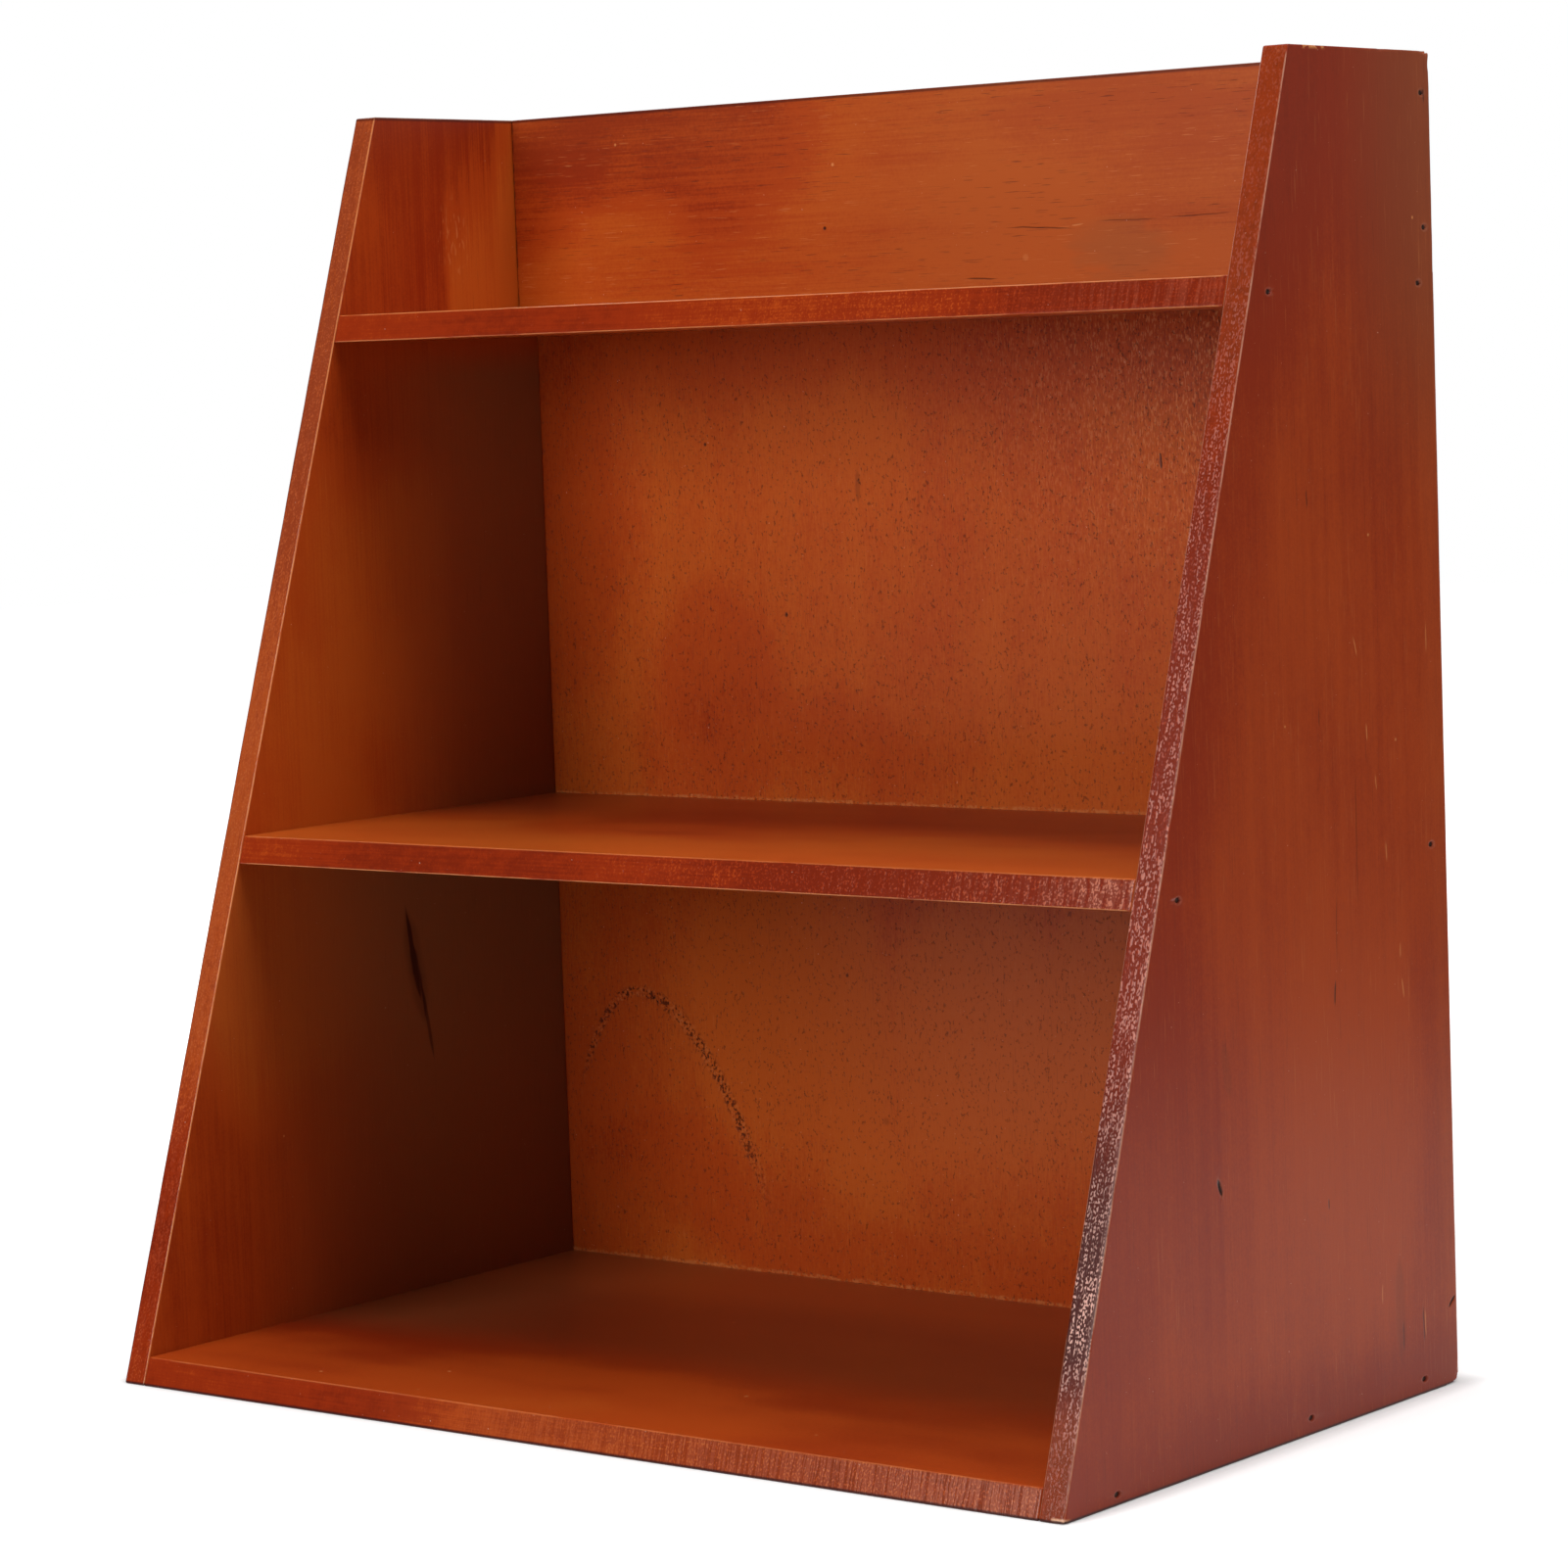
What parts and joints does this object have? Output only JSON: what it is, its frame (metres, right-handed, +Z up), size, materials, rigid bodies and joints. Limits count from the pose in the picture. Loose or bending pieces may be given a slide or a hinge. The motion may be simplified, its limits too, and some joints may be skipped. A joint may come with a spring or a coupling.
{
  "type": "display shelf",
  "caption": "Slant-front desktop display shelf: tapered side boards, open shelves bevelled to the slope, an upper back rail and a thin back panel, joined by brads.",
  "frame": {"origin": "on the floor under the middle of the overall box", "axes": "+Z up, the open slanted front towards -Y, the back panel towards +Y, +X to the right seen from the front"},
  "size_m": [0.35, 0.2026, 0.3846],
  "materials": {
    "stained_board": "reddish-brown stain under a semi-gloss clear lacquer on planed solid boards",
    "stained_ply": "reddish-brown stain under a semi-gloss clear lacquer on thin plywood",
    "brad_steel": "dull zinc-coated steel wire"
  },
  "bodies": {
    "root": {"left_side_panel": "stained_board", "right_side_panel": "stained_board", "bottom_shelf": "stained_board", "middle_shelf": "stained_board", "top_shelf": "stained_board", "upper_back_rail": "stained_board", "back_panel": "stained_ply", "left_brads_bottom_shelf": "brad_steel", "left_brads_middle_shelf": "brad_steel", "left_brads_top_shelf": "brad_steel", "left_brads_back_rail": "brad_steel", "right_brads_bottom_shelf": "brad_steel", "right_brads_middle_shelf": "brad_steel", "right_brads_top_shelf": "brad_steel", "right_brads_back_rail": "brad_steel", "back_brads_bottom_shelf": "brad_steel", "back_brads_middle_shelf": "brad_steel", "back_brads_top_shelf": "brad_steel", "back_brads_left_side": "brad_steel", "back_brads_right_side": "brad_steel"}
  },
  "joints": []
}
